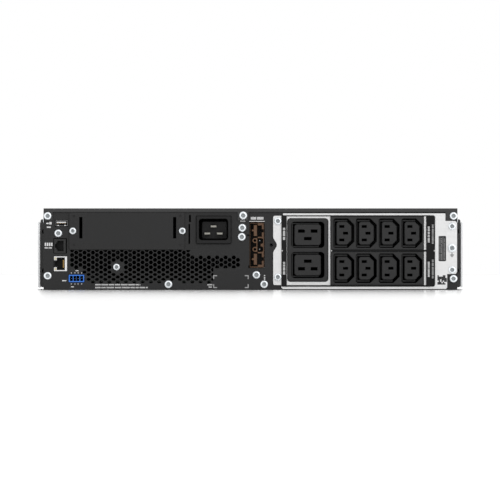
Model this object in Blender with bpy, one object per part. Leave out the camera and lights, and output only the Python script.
"""Rackmount uninterruptible power supply, two rack units high, as an assembly of separate pieces.

World frame in metres: +Z up, front at -Y, rear panel at +Y, origin at the centre of the bottom face.
The functions below take millimetres. On the rear panel a place is (u, v): u runs from the left edge as
seen from behind, v runs up from the bottom face. On the front it is (x, z).
"""
import math

import bmesh
import bpy
from mathutils import Vector
from mathutils.geometry import delaunay_2d_cdt

MM = 0.001                      # one millimetre in metres

# Chassis
WIDTH = 432.0                   # chassis, side to side
HEIGHT = 85.0                   # chassis, base to lid
HALF = WIDTH / 2
SHEET = 1.2                     # steel sheet
GAP = 0.3                       # clearance between touching pieces
REAR = 315.0                    # outer face of the rear panel
REAR_IN = REAR - SHEET
FRONT = -292.0                  # outer face of the front panel
FRONT_IN = FRONT + SHEET
BEZEL = -320.0                  # foremost face
LID_UNDER = HEIGHT - SHEET
PANEL_TOP = LID_UNDER - 0.8     # clear of the lid's bend
ON_REAR = REAR + GAP            # where a plate laid on the rear panel starts

# Rack ears and bezel
EAR_REACH = 238.2
EAR_LOW, EAR_HIGH = 1.5, 78.7
EAR_SHEET = 1.5
RACK_HOLE_X = 232.55            # half of the 465.1 mm between rack hole columns
RACK_HOLE_Z = (20.3, 64.8)
TRIM_REACH = 241.3              # half of 482.6 mm

# Hexagonal vents in the rear panel
VENT_FIRST_U, VENT_PITCH_U, VENT_COLUMNS = 29.78, 4.328, 41
VENT_TOP_EVEN, VENT_TOP_ODD, VENT_PITCH_V, VENT_ROWS = 41.3, 38.75, 5.08, 7
VENT_FLATS = 4.0                # hole, flat to flat
VENT_LOW_FLATS = 3.0            # the lower rows are pressed flatter
VENT_LOW_V = 19.0

# Battery drawer
BAY_LEFT, BAY_RIGHT = -213.2, -9.8
BAY_BACK = 100.0
TRAY_LEFT, TRAY_RIGHT = -211.0, -14.0
TRAY_LOW = 3.6
HANDLE_PIVOT = (-314.5, 52.0)   # y, z
HANDLE_LEFT, HANDLE_RIGHT = -147.0, -75.0

# Fans
FAN_X = (55.0, 153.0)
FAN_Z = 42.3
FAN_SIZE, FAN_DEPTH, FAN_BACK = 80.0, 25.0, -150.0
FAN_BORE, FAN_BLADE, FAN_HUB = 38.0, 36.5, 17.0

# Display module
DISPLAY_LEFT, DISPLAY_RIGHT, DISPLAY_LOW, DISPLAY_HIGH = 14.0, 104.0, 14.0, 71.0
DISPLAY_FACE = -319.5
BUTTON_Z = 24.0
BUTTON_X = {
    "nav_button_escape": 28.0,
    "nav_button_up": 41.0,
    "nav_button_down": 54.0,
    "nav_button_enter": 67.0,
}
POWER_BUTTON = (90.0, 49.0)

# Screws on the rear, as (u, v)
LID_SCREWS = {
    "lid_screw_left": (4.4, 77.1),
    "lid_screw_middle": (208.4, 77.5),
    "lid_screw_right": (427.9, 77.1),
}
OUTPUT_HOLES = ((244.6, 71.7), (244.6, 13.3), (426.5, 66.3), (426.5, 20.8))
PANEL_HOLES = ((4.4, 14.6), (427.9, 11.6), (15.4, 59.0), (76.2, 23.7), (130.4, 5.75),
               (207.4, 64.7), (206.9, 55.2), (222.2, 15.5), (230.3, 5.75))
SLOT_SCREWS = {"slot_screw_left": (30.6, 61.4), "slot_screw_right": (144.9, 61.4)}
GROUND = (426.4, 43.6)
SHANK, SHANK_HOLE = 1.9, 2.25   # screw shank radius and the hole it passes through

# Ports on the rear
EPO_U, EPO_V = (29.05, 32.8, 36.05, 39.8), 11.8     # the four contacts of the emergency-off socket
INLET_PINS = {
    "inlet_pin_earth": (177.4, 66.2),
    "inlet_pin_line": (170.9, 58.7),
    "inlet_pin_neutral": (183.9, 58.7),
}

# Outlets on the rear
C19_BLOCK = (254.6, 8.6, 297.0, 74.4)
BANK_LEFT, BANK_RIGHT = 299.7, 396.7
BANKS = {"outlet_bank_upper": (41.8, 76.4, 59.0), "outlet_bank_lower": (5.1, 39.6, 22.4)}
C13_U = (313.5, 336.9, 360.6, 384.4)
OUTLET_BACK, OUTLET_FACE = 286.0, 318.3

# Colours and finish of each material: linear red, green, blue, roughness, metallic
FINISHES = {
    "chassis_paint": (0.034, 0.034, 0.034, 0.55, 0.0),
    "lid_paint": (0.04, 0.04, 0.041, 0.5, 0.0),
    "zinc_plate": (0.70, 0.71, 0.72, 0.35, 0.6),
    "galvanised_sheet": (0.55, 0.56, 0.57, 0.4, 0.9),
    "overlay_black": (0.015, 0.015, 0.016, 0.5, 0.0),
    "outlet_black": (0.03, 0.03, 0.031, 0.45, 0.0),
    "port_brown": (0.15, 0.067, 0.03, 0.5, 0.0),
    "epo_blue": (0.045, 0.2, 0.72, 0.45, 0.0),
    "jack_black": (0.02, 0.02, 0.02, 0.5, 0.0),
    "shell_steel": (0.62, 0.63, 0.64, 0.3, 1.0),
    "screw_steel": (0.72, 0.75, 0.8, 0.25, 1.0),
    "pin_nickel": (0.65, 0.62, 0.55, 0.3, 1.0),
    "board_green": (0.02, 0.12, 0.04, 0.5, 0.0),
    "heat_sink": (0.6, 0.6, 0.62, 0.35, 1.0),
    "copper_winding": (0.5, 0.17, 0.06, 0.35, 0.9),
    "capacitor_sleeve": (0.02, 0.03, 0.09, 0.4, 0.0),
    "fan_black": (0.02, 0.02, 0.02, 0.45, 0.0),
    "battery_case": (0.06, 0.065, 0.07, 0.55, 0.0),
    "bezel_black": (0.025, 0.025, 0.027, 0.5, 0.0),
    "bezel_silver": (0.6, 0.61, 0.62, 0.35, 0.3),
    "display_glass": (0.02, 0.03, 0.05, 0.1, 0.0),
    "button_grey": (0.25, 0.26, 0.27, 0.5, 0.0),
    "handle_grip": (0.03, 0.03, 0.03, 0.6, 0.0),
}


def finish(name):
    """The named material, made on first use."""
    if name in bpy.data.materials:
        return bpy.data.materials[name]
    red, green, blue, roughness, metallic = FINISHES[name]
    material = bpy.data.materials.new(name)
    material.use_nodes = True
    shader = material.node_tree.nodes["Principled BSDF"]
    shader.inputs["Base Color"].default_value = (red, green, blue, 1.0)
    shader.inputs["Roughness"].default_value = roughness
    shader.inputs["Metallic"].default_value = metallic
    return material


# ---------------------------------------------------------------- outlines, counter-clockwise

def rounded(a0, b0, a1, b1, radii=0.0, steps=3):
    """Rectangle whose radii run from the lower left corner round to the upper left; one step is a chamfer."""
    if not isinstance(radii, tuple):
        radii = (radii,) * 4
    corners = ((a0, b0, 1, 1), (a1, b0, -1, 1), (a1, b1, -1, -1), (a0, b1, 1, -1))
    loop = []
    for quarter, (corner, radius) in enumerate(zip(corners, radii)):
        a, b, inward_a, inward_b = corner
        if radius == 0:
            loop.append((a, b))
            continue
        for step in range(steps + 1):
            angle = math.pi + (quarter + step / steps) * math.pi / 2
            centre_a = a + inward_a * radius
            centre_b = b + inward_b * radius
            loop.append((centre_a + radius * math.cos(angle), centre_b + radius * math.sin(angle)))
    return loop


def across(x0, z0, x1, z1, radii=0.0, steps=3):
    """A rounded rectangle given in x and z, as an outline seen from behind."""
    return rounded(HALF - x1, z0, HALF - x0, z1, radii, steps)


def circle(a, b, radius, sides=12):
    turns = [2 * math.pi * (side + 0.5) / sides for side in range(sides)]
    return [(a + radius * math.cos(turn), b + radius * math.sin(turn)) for turn in turns]


def centred(a, b, width, height, radii=0.0, steps=3):
    return rounded(a - width / 2, b - height / 2, a + width / 2, b + height / 2, radii, steps)


def clipped(loop, axis, limit, keep_below):
    """The part of an outline on one side of a straight cut."""
    sign = 1 if keep_below else -1
    result = []
    for start, end in zip(loop, loop[1:] + loop[:1]):
        inside = sign * (limit - start[axis])
        inside_next = sign * (limit - end[axis])
        if inside >= 0:
            result.append(start)
        if inside * inside_next < 0:
            share = inside / (inside - inside_next)
            result.append(tuple(s + share * (e - s) for s, e in zip(start, end)))
    return result


def stepped_socket(right, left, middle, height):
    """Modular jack opening: the plug's body with the two-step notch for its latch on the left."""
    half, half_step, half_latch = height / 2, 4.0, 2.3
    shoulder = left - 1.3
    latch = left - 2.6
    return [
        (right, middle - half), (right, middle + half),
        (left, middle + half), (left, middle + half_step),
        (shoulder, middle + half_step), (shoulder, middle + half_latch),
        (latch, middle + half_latch), (latch, middle - half_latch),
        (shoulder, middle - half_latch), (shoulder, middle - half_step),
        (left, middle - half_step), (left, middle - half),
    ]


# ---------------------------------------------------------------- solids

PLACES = {
    "rear": lambda a, b, level: (HALF - a, level, b),
    "front": lambda a, b, level: (a, level, b),
    "top": lambda a, b, level: (a, b, level),
    "right": lambda a, b, level: (level, a, b),
}


def signed_area(loop):
    return sum(p[0] * q[1] - q[0] * p[1] for p, q in zip(loop, loop[1:] + loop[:1])) / 2


def encloses(loop, point):
    """Whether an outline goes round a point."""
    crossings = 0
    for start, end in zip(loop, loop[1:] + loop[:1]):
        if (start[1] > point[1]) != (end[1] > point[1]):
            share = (point[1] - start[1]) / (end[1] - start[1])
            crossings += point[0] < start[0] + share * (end[0] - start[0])
    return crossings % 2 == 1


def add_object(name, mesh, material, origin=(0, 0, 0), smooth_angle=None):
    obj = bpy.data.objects.new(name, mesh)
    bpy.context.scene.collection.objects.link(obj)
    mesh.materials.append(finish(material))
    offset = Vector(origin) * MM
    for vertex in mesh.vertices:
        vertex.co -= offset
    obj.location = offset
    if smooth_angle:
        mesh.shade_smooth()
        mesh.set_sharp_from_angle(angle=math.radians(smooth_angle))
    return obj


def terraced(name, material, facing, outline, back, front, features=(), origin=(0, 0, 0), smooth_angle=None):
    """A block whose face steps up and down inside given outlines.

    A feature is (outline, level, features inside it). A level of None goes right through to the back.
    """
    bm = bmesh.new()
    place = PLACES[facing]
    through = []

    def ring(loop, level):
        return [bm.verts.new(Vector(place(a, b, level)) * MM) for a, b in loop]

    def flat(loops, rings, towards_back):
        points = [Vector(point) for loop in loops for point in loop]
        vertices = [vertex for loop_ring in rings for vertex in loop_ring]
        edges = []
        start = 0
        for loop in loops:
            count = len(loop)
            edges += [(start + i, start + (i + 1) % count) for i in range(count)]
            start += count
        owner = [number for number, loop in enumerate(loops) for _ in loop]
        result = delaunay_2d_cdt(points, edges, [], 1, 1e-6)
        sources = [origins[0] for origins in result[3]]
        for face in result[2]:
            owners = {owner[sources[i]] for i in face}
            number = owners.pop()
            middle = sum((result[0][i] for i in face), Vector((0, 0))) / len(face)
            if number and not owners and encloses(loops[number], middle):
                continue
            corners = [vertices[sources[i]] for i in face]
            if towards_back:
                corners.reverse()
            bm.faces.new(corners)

    def wall(lower, upper):
        count = len(lower)
        for i in range(count):
            j = (i + 1) % count
            bm.faces.new((lower[i], lower[j], upper[j], upper[i]))

    def step(loop, outer_ring, parent_level, level, inner):
        if signed_area(loop) < 0:
            loop = loop[::-1]
            outer_ring.reverse()
        own_ring = ring(loop, back if level is None else level)
        wall(outer_ring, own_ring)
        if level is None:
            through.append((loop, own_ring))
            return
        child_loops = [child[0] if signed_area(child[0]) > 0 else child[0][::-1] for child in inner]
        child_rings = [ring(child_loop, level) for child_loop in child_loops]
        flat([loop] + child_loops, [own_ring] + child_rings, False)
        for child, child_loop, child_ring in zip(inner, child_loops, child_rings):
            step(child_loop, child_ring, level, child[1], child[2] if len(child) > 2 else ())

    if signed_area(outline) < 0:
        outline = outline[::-1]
    back_ring = ring(outline, back)
    step(outline, back_ring, back, front, features)
    flat([outline] + [loop for loop, _ in through], [back_ring] + [own for _, own in through], True)
    mesh = bpy.data.meshes.new(name)
    bm.to_mesh(mesh)
    bm.free()
    return add_object(name, mesh, material, origin, smooth_angle)


def block(name, material, x0, x1, y0, y1, z0, z1):
    return terraced(name, material, "top", rounded(x0, y0, x1, y1), z0, z1)


def turned(name, material, profile, centre, axis, sides=16, origin=None, smooth_angle=40):
    """Solid of revolution; its profile of (radius, distance along the axis) starts and ends on the axis."""
    bm = bmesh.new()
    direction = Vector(axis).normalized()
    side = direction.orthogonal().normalized()
    other = direction.cross(side)
    rings = []
    for radius, along in profile:
        middle = Vector(centre) + direction * along
        if radius == 0:
            rings.append([bm.verts.new(middle * MM)])
            continue
        ring = []
        for i in range(sides):
            angle = 2 * math.pi * i / sides
            spoke = side * math.cos(angle) + other * math.sin(angle)
            ring.append(bm.verts.new((middle + spoke * radius) * MM))
        rings.append(ring)
    for lower, upper in zip(rings, rings[1:]):
        for i in range(sides):
            corners = [lower[i % len(lower)], lower[(i + 1) % len(lower)]]
            corners += [upper[(i + 1) % len(upper)], upper[i % len(upper)]]
            unique = list(dict.fromkeys(corners))
            if len(unique) > 2:
                bm.faces.new(unique)
    bmesh.ops.recalc_face_normals(bm, faces=bm.faces)
    mesh = bpy.data.meshes.new(name)
    bm.to_mesh(mesh)
    bm.free()
    return add_object(name, mesh, material, origin or (0, 0, 0), smooth_angle)


def combine(target, tool, operation):
    """Add or cut a helper solid, which is hidden and is not a piece itself."""
    tool.hide_render = True
    tool.display_type = 'WIRE'
    modifier = target.modifiers.new(tool.name, 'BOOLEAN')
    modifier.operation = operation
    modifier.solver = 'EXACT'
    modifier.object = tool


def screw(name, place, face, head_radius=4.1, head_height=1.9, shank_length=8.0):
    """Domed screw on a rear-facing surface, with its shank running into the chassis."""
    u, v = place
    base = face + GAP
    profile = [(0.0, base - shank_length), (SHANK, base - shank_length), (SHANK, base), (head_radius, base)]
    profile += [(head_radius, base + 0.5 * head_height), (0.72 * head_radius, base + 0.88 * head_height)]
    profile.append((0.0, base + head_height))
    return turned(name, "screw_steel", profile, (HALF - u, 0, v), (0, 1, 0), sides=12)


def screw_holes(places):
    return [(circle(u, v, SHANK_HOLE, 8), None) for u, v in places]


# ---------------------------------------------------------------- chassis

def build_tray():
    """Base and sides in one folded sheet, with a lip along the top of each side for the lid."""
    lip = 8.0
    lip_top = LID_UNDER - GAP
    lip_under = lip_top - SHEET
    outline = [
        (0, 0), (WIDTH, 0), (WIDTH, lip_top), (WIDTH - lip, lip_top),
        (WIDTH - lip, lip_under), (WIDTH - SHEET, lip_under), (WIDTH - SHEET, SHEET),
        (SHEET, SHEET), (SHEET, lip_under), (lip, lip_under), (lip, lip_top), (0, lip_top),
    ]
    terraced("chassis_tray", "chassis_paint", "rear", outline, FRONT_IN + GAP, REAR_IN - GAP)


def build_lid():
    """Top sheet folded down over the rear panel, with three screw tabs."""
    bend, inner_bend, steps = 2.2, 1.0, 4
    outer = ON_REAR + SHEET
    centre_y, centre_z = outer - bend, HEIGHT - bend
    flange_low, tab_low, overlap = 81.2, 72.2, 0.4
    quarter = [math.pi / 2 * step / steps for step in range(steps + 1)]
    profile = [(FRONT_IN + GAP, LID_UNDER)]
    for angle in reversed(quarter):
        profile.append((centre_y + inner_bend * math.cos(angle), centre_z + inner_bend * math.sin(angle)))
    profile += [(ON_REAR, flange_low), (outer, flange_low)]
    for angle in quarter:
        profile.append((centre_y + bend * math.cos(angle), centre_z + bend * math.sin(angle)))
    profile.append((FRONT_IN + GAP, HEIGHT))
    lid = terraced("top_cover", "lid_paint", "right", profile, -HALF, HALF)
    for name, (u, v), u0, u1 in (
        ("left", LID_SCREWS["lid_screw_left"], 0.0, 9.4),
        ("middle", LID_SCREWS["lid_screw_middle"], 202.6, 213.9),
        ("right", LID_SCREWS["lid_screw_right"], 419.8, WIDTH),
    ):
        outline = rounded(u0, tab_low, u1, flange_low + overlap, (1.2, 1.2, 0, 0), 2)
        tab = terraced("lid_tab_" + name, "lid_paint", "rear", outline, ON_REAR, outer, screw_holes([(u, v)]))
        combine(lid, tab, 'UNION')


def vent_holes():
    """Staggered hexagons, with room left for the ports, the screws and the label."""
    socket_columns, inlet_column, inlet_low = 3, 29, 35.0
    label_column, label_left, label_top = 34, 177.3, 22.4
    vent_screw_u, vent_screw_v, margin = 76.2, 23.7, 6.5
    base_screw_u, base_screw_top = 133.6, 9.0
    top_cut, smallest = 41.5, 3.0
    holes = []
    for column in range(VENT_COLUMNS):
        u = VENT_FIRST_U + column * VENT_PITCH_U
        top = VENT_TOP_ODD if column % 2 else VENT_TOP_EVEN
        for row in range(VENT_ROWS):
            v = top - row * VENT_PITCH_V
            low_row = v < VENT_LOW_V
            if column < socket_columns and v < 22 or column == socket_columns and v < 16:
                continue
            if column >= inlet_column and v > inlet_low:
                continue
            if math.hypot(u - vent_screw_u, v - vent_screw_v) < margin:
                continue
            if abs(u - base_screw_u) < 5 and v < base_screw_top:
                continue
            width = VENT_FLATS / math.sqrt(3)
            half = (VENT_LOW_FLATS if low_row else VENT_FLATS) / 2
            loop = [(u + width, v), (u + width / 2, v + half), (u - width / 2, v + half),
                    (u - width, v), (u - width / 2, v - half), (u + width / 2, v - half)]
            if column < inlet_column:
                loop = clipped(loop, 1, top_cut, True)
            if column > label_column:
                loop = clipped(loop, 1, label_top, False)
            if column == label_column and v < label_top:
                loop = clipped(loop, 0, label_left, True)
            if len(loop) > 2 and abs(signed_area(loop)) > smallest:
                holes.append((loop, None))
    return holes


def battery_port_opening():
    """Opening for the battery connector, with a relief at its lower corner and a keying nick on its left."""
    left, right, low, high = 214.9, 230.8, 22.6, 70.6
    nick_left, nick_low, nick_high = left - 2.5, 56.2, 57.6
    relief_left, relief_high = left - 1.1, low + 2.7
    return [
        (relief_left, low), (right, low), (right, high), (left, high),
        (left, nick_high), (nick_left, nick_high), (nick_left, nick_low), (left, nick_low),
        (left, relief_high), (relief_left, relief_high),
    ]


def build_rear_panel():
    usb = rounded(11.8, 65.7, 25.5, 73.0)
    serial = rounded(10.3, 38.0, 24.3, 53.7)
    network = rounded(10.6, 19.3, 24.6, 34.9)
    emergency_off = rounded(26.0, 7.7, 42.7, 15.9)
    card_slot = rounded(35.5, 46.5, 140.5, 77.0, 1.5, 2)
    short_catch, long_catch = rounded(151.8, 70.8, 153.8, 78.1), rounded(151.3, 47.9, 152.9, 68.7)
    inlet = rounded(159.2, 47.8, 196.0, 77.2, (1.5, 1.5, 0.5, 0.5), 2)
    reset = circle(237.8, 46.7, 1.75, 12)
    outlets = rounded(253.5, 4.4, 398.0, 77.2)
    openings = []
    for loop in (usb, serial, network, emergency_off, card_slot, short_catch, long_catch, inlet,
                 battery_port_opening(), reset, outlets):
        openings.append((loop, None))
    for places in (LID_SCREWS.values(), SLOT_SCREWS.values(), OUTPUT_HOLES, PANEL_HOLES, (GROUND,)):
        openings += screw_holes(places)
    outline = rounded(0, 0, WIDTH, PANEL_TOP, (1.8, 1.8, 0, 0), 3)
    terraced("rear_panel", "chassis_paint", "rear", outline, REAR_IN, REAR, openings + vent_holes())


def build_front_panel():
    battery_bay = across(BAY_LEFT, 2.6, BAY_RIGHT, 80.0)
    intake = across(112.0, 9.0, 206.0, 76.0, 4.0, 2)
    display_cable = across(40.0, 30.0, 80.0, 55.0, 3.0, 2)
    outline = rounded(0, 0, WIDTH, LID_UNDER - GAP)
    terraced("front_panel", "galvanised_sheet", "rear", outline, FRONT, FRONT_IN,
             [(battery_bay, None), (intake, None), (display_cable, None)])


def build_bay_divider():
    """Wall beside the battery bay and behind it."""
    inner, outer = BAY_RIGHT + 1.8, BAY_RIGHT + 1.8 + SHEET
    side = -HALF + SHEET + GAP
    front = FRONT_IN + 2 * GAP
    outline = [(inner, front), (outer, front), (outer, BAY_BACK + SHEET), (side, BAY_BACK + SHEET),
               (side, BAY_BACK), (inner, BAY_BACK)]
    terraced("bay_divider", "galvanised_sheet", "top", outline, SHEET + GAP, LID_UNDER - GAP - SHEET - GAP)


def build_ear(name, side):
    """Angle bracket: a flange along the chassis side and a face with two slots for the rack screws."""
    inner, corner, flange_depth = HALF + GAP, 1.2, 62.0
    slots = [(centred(side * RACK_HOLE_X, z, 8.0, 6.8, 3.3, 3), None) for z in RACK_HOLE_Z]
    x0, x1 = sorted((side * inner, side * EAR_REACH))
    corners = (0, corner, corner, 0) if side > 0 else (corner, 0, 0, corner)
    outline = rounded(x0, EAR_LOW, x1, EAR_HIGH, corners, 1)
    ear = terraced(name, "chassis_paint", "front", outline, FRONT + EAR_SHEET, FRONT, slots)
    x0, x1 = sorted((side * inner, side * (inner + EAR_SHEET)))
    flange = block(name + "_flange", "chassis_paint", x0, x1, FRONT, FRONT + flange_depth, EAR_LOW, EAR_HIGH)
    combine(ear, flange, 'UNION')


# ---------------------------------------------------------------- output side of the rear

def build_output_plate():
    """Plated sheet with a hollow left edge and a lobe on the right that carries the ground stud."""
    hollow_middle, hollow_depth, hollow_half, steps = 46.7, 3.8, 8.6, 12
    left, step_u, right, lobe_right = 239.7, 248.2, 421.3, 431.6
    base, flange_low, lobe_low, lobe_high, flange_high, top = 0.8, 4.9, 16.4, 71.8, 77.2, 79.7
    top_left, top_right, corner = step_u + 1.8, 419.4, 1.2
    outline = [(left + corner, flange_low), (step_u, flange_low), (step_u, base + 1.6), (step_u + 1.6, base),
               (right - 1.4, base), (right, base + 1.4), (right, lobe_low)]
    outline += rounded(top_right, lobe_low, lobe_right, lobe_high, (0, 2.5, 2.5, 0), 2)[1:-1]
    outline += [(top_right, lobe_high), (top_right, top), (top_left, top), (top_left, flange_high),
                (left + corner, flange_high), (left, flange_high - corner)]
    for step in range(steps + 1):
        share = 1 - 2 * step / steps
        depth = hollow_depth * (0.5 + 0.5 * math.cos(math.pi * share))
        outline.append((left + depth, hollow_middle + hollow_half * share))
    outline.append((left, flange_low + corner))
    u0, v0, u1, v1 = C19_BLOCK
    openings = [(rounded(u0 - GAP, v0 - GAP, u1 + GAP, v1 + GAP, 3.0, 2), None)]
    for low, high, _ in BANKS.values():
        openings.append((rounded(BANK_LEFT - GAP, low - GAP, BANK_RIGHT + GAP, high + GAP), None))
    openings += screw_holes(OUTPUT_HOLES + (GROUND,))
    terraced("output_plate", "zinc_plate", "rear", outline, ON_REAR, ON_REAR + SHEET, openings)


def build_output_overlay():
    """Thin black fascia glued on the plate, with a window that follows the outlets."""
    left, right, low, high = 253.8, 399.3, 4.8, 76.7
    bar_left, bar_low, bar_high = 299.4, 39.9, 41.5
    window = [(left, low), (right, low), (right, bar_low), (bar_left, bar_low), (bar_left, bar_high),
              (right, bar_high), (right, high), (left, high)]
    outline = rounded(248.3, 3.3, 408.6, 77.7, (0.5, 2, 2, 0.5), 2)
    level, film = ON_REAR + SHEET + GAP, 0.4
    terraced("output_overlay", "overlay_black", "rear", outline, level, level + film, [(window, None)])


def outlet_socket(u, v, pocket, core, slots, depth):
    """Recess with the contact block standing in it; slots are (du, dv, width, height)."""
    floor, core_face = OUTLET_FACE - depth, OUTLET_FACE - 0.6
    contacts = [(centred(u + du, v + dv, width, height), floor) for du, dv, width, height in slots]
    return (pocket, floor, [(core, core_face, contacts)])


def build_c19_block():
    middle, depth = 275.75, 20.0
    sockets = []
    for v, turn in ((57.35, 1), (25.8, -1)):
        slots = [(-6.6, 3.9 * turn, 7.0, 3.3), (6.6, 3.9 * turn, 7.0, 3.3), (0.0, -4.0 * turn, 7.8, 3.2)]
        pocket = centred(middle, v, 35.3, 27.4, 4.0, 3)
        core = centred(middle, v, 28.3, 22.3, 3.2, 3)
        sockets.append(outlet_socket(middle, v, pocket, core, slots, depth))
    outline = rounded(*C19_BLOCK, 2.7, 2)
    terraced("outlet_block_c19", "outlet_black", "rear", outline, OUTLET_BACK, OUTLET_FACE, sockets)


def build_c13_banks():
    slots, depth = [(-2.2, 7.0, 5.2, 2.7), (-2.2, -7.0, 5.2, 2.7), (1.7, 0.0, 5.2, 2.7)], 17.0
    for name, (low, high, middle) in BANKS.items():
        sockets = []
        for u in C13_U:
            pocket = centred(u, middle, 21.8, 30.6, (1.8, 6.8, 6.8, 1.8), 1)
            core = centred(u, middle, 16.0, 24.2, (2.5, 5.5, 5.5, 2.5), 1)
            sockets.append(outlet_socket(u, middle, pocket, core, slots, depth))
        outline = rounded(BANK_LEFT, low, BANK_RIGHT, high)
        terraced(name, "outlet_black", "rear", outline, OUTLET_BACK, OUTLET_FACE, sockets)


# ---------------------------------------------------------------- inlet and ports

def build_inlet():
    """Sixteen-ampere inlet: a deep cavity with three flat pins that pass through its floor."""
    face, floor, wall = REAR + 2.6, REAR - 15.0, 4.0
    width, thick, tip, tail = 6.0, 2.1, face - 6.0, floor - 12.0
    holes = [(centred(u, v, width + 2 * GAP, thick + 2 * GAP), None) for u, v in INLET_PINS.values()]
    cavity = (rounded(161.6, 51.8, 192.7, 73.7, 3.0, 2), floor, holes)
    outline = rounded(159.5, 48.1, 195.7, 76.9, (1.2, 1.2, 0.4, 0.4), 2)
    terraced("inlet_housing", "outlet_black", "rear", outline, floor - wall, face, [cavity])
    for name, (u, v) in INLET_PINS.items():
        terraced(name, "pin_nickel", "rear", centred(u, v, width, thick), tail, tip)


def build_battery_port():
    """Two-column connector for an external battery cabinet, set into the panel."""
    low, raised = REAR - 11.0, REAR - 2.5
    cell_right, key_right, bar_left = 227.9, 229.8, 223.6
    round_low, round_high, round_right = 39.4, 53.9, 229.2
    waist_left, waist_low, waist_high, corner = 226.6, 45.3, 47.9, 1.2
    recess = [
        (215.7, 24.2), (bar_left, 24.2), (bar_left, 26.1), (cell_right, 26.1),
        (cell_right, 30.2), (key_right, 30.2), (key_right, 33.9), (cell_right, 33.9),
        (cell_right, 38.0), (bar_left, 38.0),
        (bar_left, round_low), (round_right - corner, round_low), (round_right, round_low + corner),
        (round_right, waist_low - corner), (round_right - corner, waist_low), (waist_left, waist_low),
        (waist_left, waist_high), (round_right - corner, waist_high), (round_right, waist_high + corner),
        (round_right, round_high - corner), (round_right - corner, round_high),
        (bar_left, round_high), (bar_left, 55.3), (cell_right, 55.3),
        (cell_right, 60.0), (key_right, 60.0), (key_right, 63.2), (cell_right, 63.2),
        (cell_right, 67.2), (bar_left, 67.2), (bar_left, 69.2), (215.7, 69.2),
    ]
    islands = []
    blade_left, blade_right, key_left = 219.4, 222.8, 217.4
    half, key = 5.75, 0.95
    for middle in (61.9, 31.8):
        islands.append(([
            (blade_left, middle - half), (blade_right, middle - half), (blade_right, middle + half),
            (blade_left, middle + half), (blade_left, middle + key), (key_left, middle + key),
            (key_left, middle - key), (blade_left, middle - key),
        ], raised))
    tube_u, tube_radius, bore, spine_left, spine_right, steps = 220.6, 2.6, 1.5, 222.2, 223.2, 8
    spectacles, bores = [], []
    for middle, first, last in ((51.4, spine_right, spine_left), (42.2, spine_left, spine_right)):
        spectacles.append((first, middle + tube_radius))
        for step in range(steps + 1):
            angle = math.pi * (0.5 + step / steps)
            across_tube, up_tube = tube_radius * math.cos(angle), tube_radius * math.sin(angle)
            spectacles.append((tube_u + across_tube, middle + up_tube))
        spectacles.append((last, middle - tube_radius))
        bores.append((circle(tube_u, middle, bore, 10), low))
    islands.append((spectacles, raised, bores))
    outline = rounded(215.2, 23.1, 230.4, 70.1)
    terraced("battery_port", "port_brown", "rear", outline, REAR - 18.0, raised, [(recess, low, islands)])


def build_small_ports():
    cavity = REAR - 12.0
    tongue = (rounded(13.2, 69.0, 24.1, 70.7), REAR - 1.5)
    usb_inside = (rounded(12.6, 66.6, 24.7, 72.1), cavity, [tongue])
    usb = rounded(12.1, 66.0, 25.2, 72.7)
    terraced("usb_port", "shell_steel", "rear", usb, REAR - 17.0, REAR + 0.6, [usb_inside])
    serial = rounded(10.6, 38.3, 24.0, 53.4)
    plug = (stepped_socket(21.3, 14.5, 45.9, 11.7), cavity)
    terraced("serial_jack", "jack_black", "rear", serial, REAR - 21.0, REAR + 0.5, [plug])
    network = rounded(10.9, 19.6, 24.3, 34.6)
    plug = (stepped_socket(21.7, 14.4, 27.0, 11.7), cavity)
    terraced("network_jack", "shell_steel", "rear", network, REAR - 21.0, REAR + 0.8, [plug])
    emergency_off = rounded(26.3, 8.0, 42.4, 15.6)
    cells = [(centred(u, EPO_V, 2.6, 5.0), REAR - 8.0) for u in EPO_U]
    terraced("epo_socket", "epo_blue", "rear", emergency_off, REAR - 14.0, REAR + 1.0, cells)


def build_slot():
    """Card cage behind the panel, and the cover plate that closes it."""
    left, right, low, high, cage_back = 34.0, 142.0, 44.5, 79.0, 170.0
    inside = rounded(left + SHEET, low + SHEET, right - SHEET, high - SHEET)
    outline = rounded(left, low, right, high)
    features = [(inside, cage_back + SHEET)]
    terraced("card_cage", "galvanised_sheet", "rear", outline, cage_back, REAR_IN - GAP, features)
    grip_width, grip_low, grip_high = 3.3, 53.6, 75.9
    grips = [(rounded(u, grip_low, u + grip_width, grip_high), None) for u in (37.3, 135.2)]
    dimples = [(circle(u, v, 1.3, 8), ON_REAR + SHEET / 2) for u in (31.8, 142.6) for v in (46.8, 76.8)]
    outline = rounded(26.9, 42.2, 147.0, 80.7, 1.0, 2)
    terraced("slot_cover", "chassis_paint", "rear", outline, ON_REAR, ON_REAR + SHEET,
             grips + dimples + screw_holes(SLOT_SCREWS.values()))


def build_screws():
    for name, place in LID_SCREWS.items():
        screw(name, place, ON_REAR + SHEET)
    for name, place in SLOT_SCREWS.items():
        screw(name, place, ON_REAR + SHEET, head_radius=3.7)
    screw("ground_screw", GROUND, ON_REAR + SHEET, head_radius=4.5, head_height=3.0)


# ---------------------------------------------------------------- inside

def build_boards():
    """Two boards lying above the base, and one standing behind the small ports."""
    standoff, thick = 8.0, 1.6
    block("power_board", "board_green", 2.0, 205.0, -105.0, 160.0, standoff, standoff + thick)
    block("output_board", "board_green", -205.0, -15.0, 115.0, 275.0, standoff, standoff + thick)
    x = HALF - 27.0
    block("control_board", "board_green", x, x + thick, 200.0, REAR_IN - GAP, 18.0, 76.0)


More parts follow.
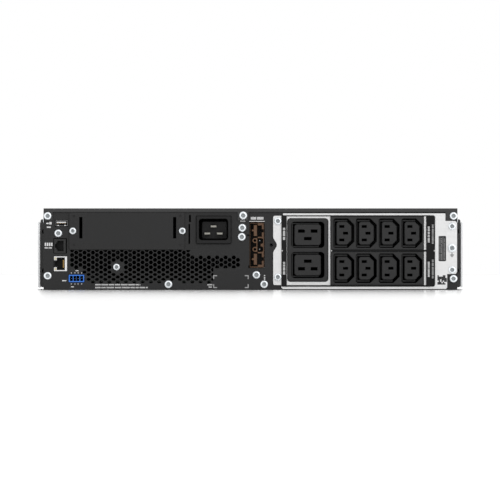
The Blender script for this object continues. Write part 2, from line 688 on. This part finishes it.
def build_heat_sinks():
    """Finned aluminium extrusions along the air path."""
    fins, pitch, fin, base, low, high, front, back = 8, 7.0, 2.2, 5.0, 9.9, 68.0, -80.0, 60.0
    for name, left in (("heat_sink_left", 20.0), ("heat_sink_right", 122.0)):
        width = (fins - 1) * pitch + fin
        outline = [(left, low), (left + width, low)]
        for i in reversed(range(fins)):
            start = left + i * pitch
            outline += [(start + fin, high), (start, high)]
            if i:
                outline += [(start, low + base), (start - pitch + fin, low + base)]
        terraced(name, "heat_sink", "front", outline, back, front)


def build_chokes():
    """Two wound rings on the power board."""
    ring_radius, wire_radius, around, sides = 19.0, 8.0, 20, 8
    y, z = 115.0, 18.2
    for name, x in (("choke_left", 62.0), ("choke_right", 132.0)):
        profile = []
        for i in range(sides + 1):
            angle = 2 * math.pi * i / sides
            profile.append((ring_radius + wire_radius * math.cos(angle), wire_radius * math.sin(angle)))
        bm = bmesh.new()
        for i in range(around):
            turn = 2 * math.pi * i / around
            for radius, height in profile[:-1]:
                point = Vector((x + radius * math.cos(turn), y + radius * math.sin(turn), z + height))
                bm.verts.new(point * MM)
        bm.verts.ensure_lookup_table()
        for i in range(around):
            for j in range(sides):
                a, b = i * sides, ((i + 1) % around) * sides
                k = (j + 1) % sides
                bm.faces.new([bm.verts[n] for n in (a + j, b + j, b + k, a + k)])
        mesh = bpy.data.meshes.new(name)
        bm.to_mesh(mesh)
        bm.free()
        add_object(name, mesh, "copper_winding", smooth_angle=60)


def build_capacitors():
    first_x, pitch, y, radius, low, high, rim = -60.0, 42.0, 190.0, 16.0, 9.9, 59.0, 1.0
    profile = [(0.0, low), (radius, low), (radius, high - rim), (radius - rim, high), (0.0, high)]
    for number in range(3):
        centre = (first_x - pitch * number, y, 0.0)
        turned(f"capacitor_{number + 1}", "capacitor_sleeve", profile, centre, (0, 0, 1), sides=16)


def build_fans():
    """Axial fans: a square frame with a four-arm motor mount, and a seven-blade rotor on a spindle."""
    arms, arm_half, inner, outer = 4, 2.5, 16.0, FAN_BORE - 1.5
    inset_in, inset_out = math.asin(arm_half / inner), math.asin(arm_half / outer)
    plate, spindle, spindle_hole = 3.0, 2.0, 2.1
    for number, x in enumerate(FAN_X, start=1):
        u = HALF - x
        openings = []
        for arm in range(arms):
            start = math.pi / 2 * arm
            loop = []
            for step in range(5):
                angle = start + inset_out + (math.pi / 2 - 2 * inset_out) * step / 4
                loop.append((u + outer * math.cos(angle), FAN_Z + outer * math.sin(angle)))
            for step in range(4):
                angle = start + math.pi / 2 - inset_in - (math.pi / 2 - 2 * inset_in) * step / 3
                loop.append((u + inner * math.cos(angle), FAN_Z + inner * math.sin(angle)))
            openings.append((loop, None))
        openings.append((circle(u, FAN_Z, spindle_hole, 12), None))
        bore = (circle(u, FAN_Z, FAN_BORE, 32), FAN_BACK + plate, openings)
        outline = centred(u, FAN_Z, FAN_SIZE, FAN_SIZE, 4.0, 2)
        terraced(f"fan_frame_{number}", "fan_black", "rear", outline, FAN_BACK, FAN_BACK + FAN_DEPTH, [bore],
                 smooth_angle=30)
        centre = (x, 0.0, FAN_Z)
        hub_back, hub_front, rim = FAN_BACK + plate + 0.5, FAN_BACK + FAN_DEPTH - 1.0, 1.5
        profile = [(0.0, FAN_BACK + GAP), (spindle, FAN_BACK + GAP), (spindle, hub_back), (FAN_HUB, hub_back),
                   (FAN_HUB, hub_front - rim), (FAN_HUB - rim, hub_front), (0.0, hub_front)]
        rotor = turned(f"fan_rotor_{number}", "fan_black", profile, centre, (0, 1, 0), 28, centre)
        combine(rotor, build_blades(number, centre, hub_back + 1.0, hub_front - 1.0), 'UNION')


def build_blades(number, centre, back, front):
    """Seven pitched blades whose roots lie inside the hub."""
    blades, stations, thick, root, twist, lead_angle = 7, 3, 0.8, FAN_HUB - 2.0, 0.25, 0.28
    bm = bmesh.new()
    for blade in range(blades):
        rows = []
        for station in range(stations):
            share = station / (stations - 1)
            radius = root + share * (FAN_BLADE - root)
            sweep = 2 * math.pi * blade / blades + twist * share
            row = []
            for along, lead in ((back, -lead_angle), (front, lead_angle)):
                for lift in (-thick, thick):
                    angle = sweep + lead + lift / radius
                    x = centre[0] + radius * math.cos(angle)
                    z = centre[2] + radius * math.sin(angle)
                    row.append(bm.verts.new(Vector((x, along, z)) * MM))
            rows.append([row[0], row[1], row[3], row[2]])
        for lower, upper in zip(rows, rows[1:]):
            for i in range(4):
                j = (i + 1) % 4
                bm.faces.new((lower[i], lower[j], upper[j], upper[i]))
        bm.faces.new(rows[0])
        bm.faces.new(rows[-1])
    bmesh.ops.recalc_face_normals(bm, faces=bm.faces)
    mesh = bpy.data.meshes.new(f"fan_blades_{number}")
    bm.to_mesh(mesh)
    bm.free()
    return add_object(f"fan_blades_{number}", mesh, "fan_black", centre)


# ---------------------------------------------------------------- battery drawer

def build_drawer():
    """Sheet tray with two strings of battery blocks behind a moulded fascia."""
    tray_front, tray_back = FRONT + GAP, 92.0
    side_top = 40.0
    left, right = HALF - TRAY_RIGHT, HALF - TRAY_LEFT
    floor = TRAY_LOW + SHEET
    outline = [(left, TRAY_LOW), (right, TRAY_LOW), (right, side_top), (right - SHEET, side_top),
               (right - SHEET, floor), (left + SHEET, floor), (left + SHEET, side_top), (left, side_top)]
    terraced("battery_tray", "galvanised_sheet", "rear", outline, tray_front, tray_back)
    blocks, start, length, low, high = 4, -286.0, 91.0, floor + GAP, 75.0
    gutter, gutter_depth = 1.4, 6.0
    for name, x0, x1 in (("battery_string_left", -209.2, -113.0), ("battery_string_right", -112.0, -15.8)):
        outline = [(start, low), (start + blocks * length, low)]
        for i in reversed(range(blocks)):
            outline += [(start + (i + 1) * length - gutter, high), (start + i * length + gutter, high)]
            if i:
                outline.append((start + i * length, high - gutter_depth))
        terraced(name, "battery_case", "right", outline, x0, x1)


def build_drawer_front():
    """Fascia with a recess for the handle and blind slanted slots on both sides of it."""
    left, right, low, high = -211.5, -10.5, 4.0, 78.8
    recess_floor, slot_floor = -298.0, -315.0
    recess = rounded(HANDLE_LEFT - 2.0, 17.0, HANDLE_RIGHT + 2.0, 62.0, 3.0, 2)
    features = [(recess, recess_floor)]
    slots, pitch, width, lean, height = 7, 7.2, 3.0, 2.4, 46.0
    z0 = (low + high - height) / 2
    z1 = z0 + height
    for first in (left + 8.0, HANDLE_RIGHT + 7.0):
        for i in range(slots):
            a = first + i * pitch
            slot = [(a, z0), (a + width, z0), (a + width + lean, z1), (a + lean, z1)]
            features.append((slot, slot_floor))
    outline = rounded(left, low, right, high, 2.0, 2)
    front = terraced("drawer_front", "bezel_black", "front", outline, FRONT - GAP, DISPLAY_FACE, features)
    pivot_y, pivot_z = HANDLE_PIVOT
    radius, start, end = 2.3, -3.4, HANDLE_RIGHT - HANDLE_LEFT + 7.4
    bearing = turned("handle_bearing", "bezel_black", [(0, start), (radius, start), (radius, end), (0, end)],
                     (HANDLE_LEFT - 2.0, pivot_y, pivot_z), (1, 0, 0))
    combine(front, bearing, 'DIFFERENCE')


def build_handle():
    """Bail that hangs in the fascia's recess on two stub pins."""
    pivot_y, pivot_z = HANDLE_PIVOT
    origin = ((HANDLE_LEFT + HANDLE_RIGHT) / 2, pivot_y, pivot_z)
    arm, grip, low, high, half_thick = 7.0, 8.0, 22.0, 56.0, 2.5
    outline = rounded(HANDLE_LEFT, low, HANDLE_RIGHT, high, (5.0, 5.0, 0, 0), 3)
    inner_left, inner_right, inner_low = HANDLE_LEFT + arm, HANDLE_RIGHT - arm, low + grip
    inner = [(inner_right, high), (inner_right, inner_low), (inner_left, inner_low), (inner_left, high)]
    handle = terraced("drawer_handle", "handle_grip", "front", outline[:-1] + inner + outline[-1:],
                      pivot_y + half_thick, pivot_y - half_thick, origin=origin)
    radius, root, tip = 2.0, -3.0, 4.7
    profile = [(0, root), (radius, root), (radius, tip), (0, tip)]
    for side, start, direction in (("left", HANDLE_LEFT, -1), ("right", HANDLE_RIGHT, 1)):
        centre = (start, pivot_y, pivot_z)
        pin = turned("handle_pin_" + side, "handle_grip", profile, centre, (direction, 0, 0))
        combine(handle, pin, 'UNION')


# ---------------------------------------------------------------- bezel and display

def build_bezel():
    """Moulded shell over the front, open for the drawer and the display, with slanted intake slots."""
    low, high, wing_high, step, corner, skin = 1.5, 83.5, 77.0, HALF - 0.5, 3.0, 3.0
    reach = EAR_REACH + 0.2
    right_half = [(reach - corner, low), (reach, low + corner),
                  (reach, wing_high - corner), (reach - corner, wing_high), (step, wing_high), (step, high)]
    outline = [(HALF - x, z) for x, z in right_half] + [(HALF + x, z) for x, z in reversed(right_half)]
    around = 0.8
    features = [
        (across(-212.3, 3.2, -9.7, 79.6, 2.0, 2), None),
        (across(DISPLAY_LEFT - around, DISPLAY_LOW - around,
                DISPLAY_RIGHT + around, DISPLAY_HIGH + around, 3.0, 2), None),
    ]
    rows, row_low, row_pitch = 3, 12.0, 20.5
    columns, first, pitch, width, lean, height = 11, HALF - 207.0, 8.4, 4.2, -3.0, 16.0
    for row in range(rows):
        z0 = row_low + row * row_pitch
        z1 = z0 + height
        for column in range(columns):
            a = first + column * pitch
            slot = [(a, z0), (a + width, z0), (a + width + lean, z1), (a + lean, z1)]
            features.append((slot, None))
    wall = 2.0
    hollow = (across(-step + wall, low + 1.4, step - wall, high - wall), BEZEL + skin, features)
    pocket_low, pocket_high, pocket_width = 6.0, 73.0, 17.4
    pockets = [(across(x, pocket_low, x + pocket_width, pocket_high), BEZEL + skin) for x in (219.0, -236.4)]
    terraced("front_bezel", "bezel_black", "rear", outline, BEZEL, FRONT - GAP, [hollow] + pockets)


def build_trims():
    """Bright strip down each end of the front."""
    low, high, back = 1.2, 75.9, FRONT - 1.5
    for name, side in (("bezel_trim_left", -1), ("bezel_trim_right", 1)):
        x0, x1 = sorted((side * (EAR_REACH + 0.5), side * TRIM_REACH))
        block(name, "bezel_silver", x0, x1, BEZEL, back, low, high)


def build_display():
    """Housing with a window and five buttons over a small board."""
    x0, z0, x1, z1 = 22.0, 36.0, 72.0, 62.0
    holes = [(across(x0, z0, x1, z1, 1.0, 2), None)]
    button_width, button_height, around = 9.0, 6.0, 0.3
    half_width, half_height = button_width / 2 + around, button_height / 2 + around
    for x in BUTTON_X.values():
        hole = across(x - half_width, BUTTON_Z - half_height, x + half_width, BUTTON_Z + half_height, 1.2, 2)
        holes.append((hole, None))
    holes.append((circle(HALF - POWER_BUTTON[0], POWER_BUTTON[1], 6.8, 20), None))
    wall, skin = 2.0, 2.5
    pocket = across(DISPLAY_LEFT + wall, DISPLAY_LOW + wall, DISPLAY_RIGHT - wall, DISPLAY_HIGH - wall)
    outline = across(DISPLAY_LEFT, DISPLAY_LOW, DISPLAY_RIGHT, DISPLAY_HIGH, 2.5, 2)
    terraced("display_housing", "bezel_black", "rear", outline, DISPLAY_FACE, FRONT - GAP,
             [(pocket, DISPLAY_FACE + skin, holes)])
    pane = rounded(x0 + GAP, z0 + GAP, x1 - GAP, z1 - GAP, 0.8, 2)
    terraced("display_window", "display_glass", "front", pane, DISPLAY_FACE + skin, DISPLAY_FACE + 0.5)
    margin, board_front, thick = 3.0, -312.0, 1.6
    block("display_board", "board_green", DISPLAY_LEFT + margin, DISPLAY_RIGHT - margin,
          board_front, board_front + thick, DISPLAY_LOW + margin, DISPLAY_HIGH - margin)
    button_back, button_face, rim = -314.0, DISPLAY_FACE - 1.0, 0.5
    for name, x in BUTTON_X.items():
        outline = centred(x, BUTTON_Z, button_width, button_height, 1.0, 2)
        terraced(name, "button_grey", "front", outline, button_back, button_face,
                 origin=(x, button_back, BUTTON_Z))
    x, z = POWER_BUTTON
    radius = 6.5
    profile = [(0, button_back), (radius, button_back), (radius, button_face + rim),
               (radius - rim, button_face), (0, button_face)]
    turned("power_button", "button_grey", profile, (x, 0, z), (0, 1, 0), 20, (x, button_back, z))


for old in list(bpy.data.objects):
    bpy.data.objects.remove(old)

build_tray()
build_lid()
build_rear_panel()
build_front_panel()
build_bay_divider()
build_ear("rack_ear_right", 1)
build_ear("rack_ear_left", -1)
build_output_plate()
build_output_overlay()
build_c19_block()
build_c13_banks()
build_inlet()
build_battery_port()
build_small_ports()
build_slot()
build_screws()
build_boards()
build_heat_sinks()
build_chokes()
build_capacitors()
build_fans()
build_drawer()
build_drawer_front()
build_handle()
build_bezel()
build_trims()
build_display()
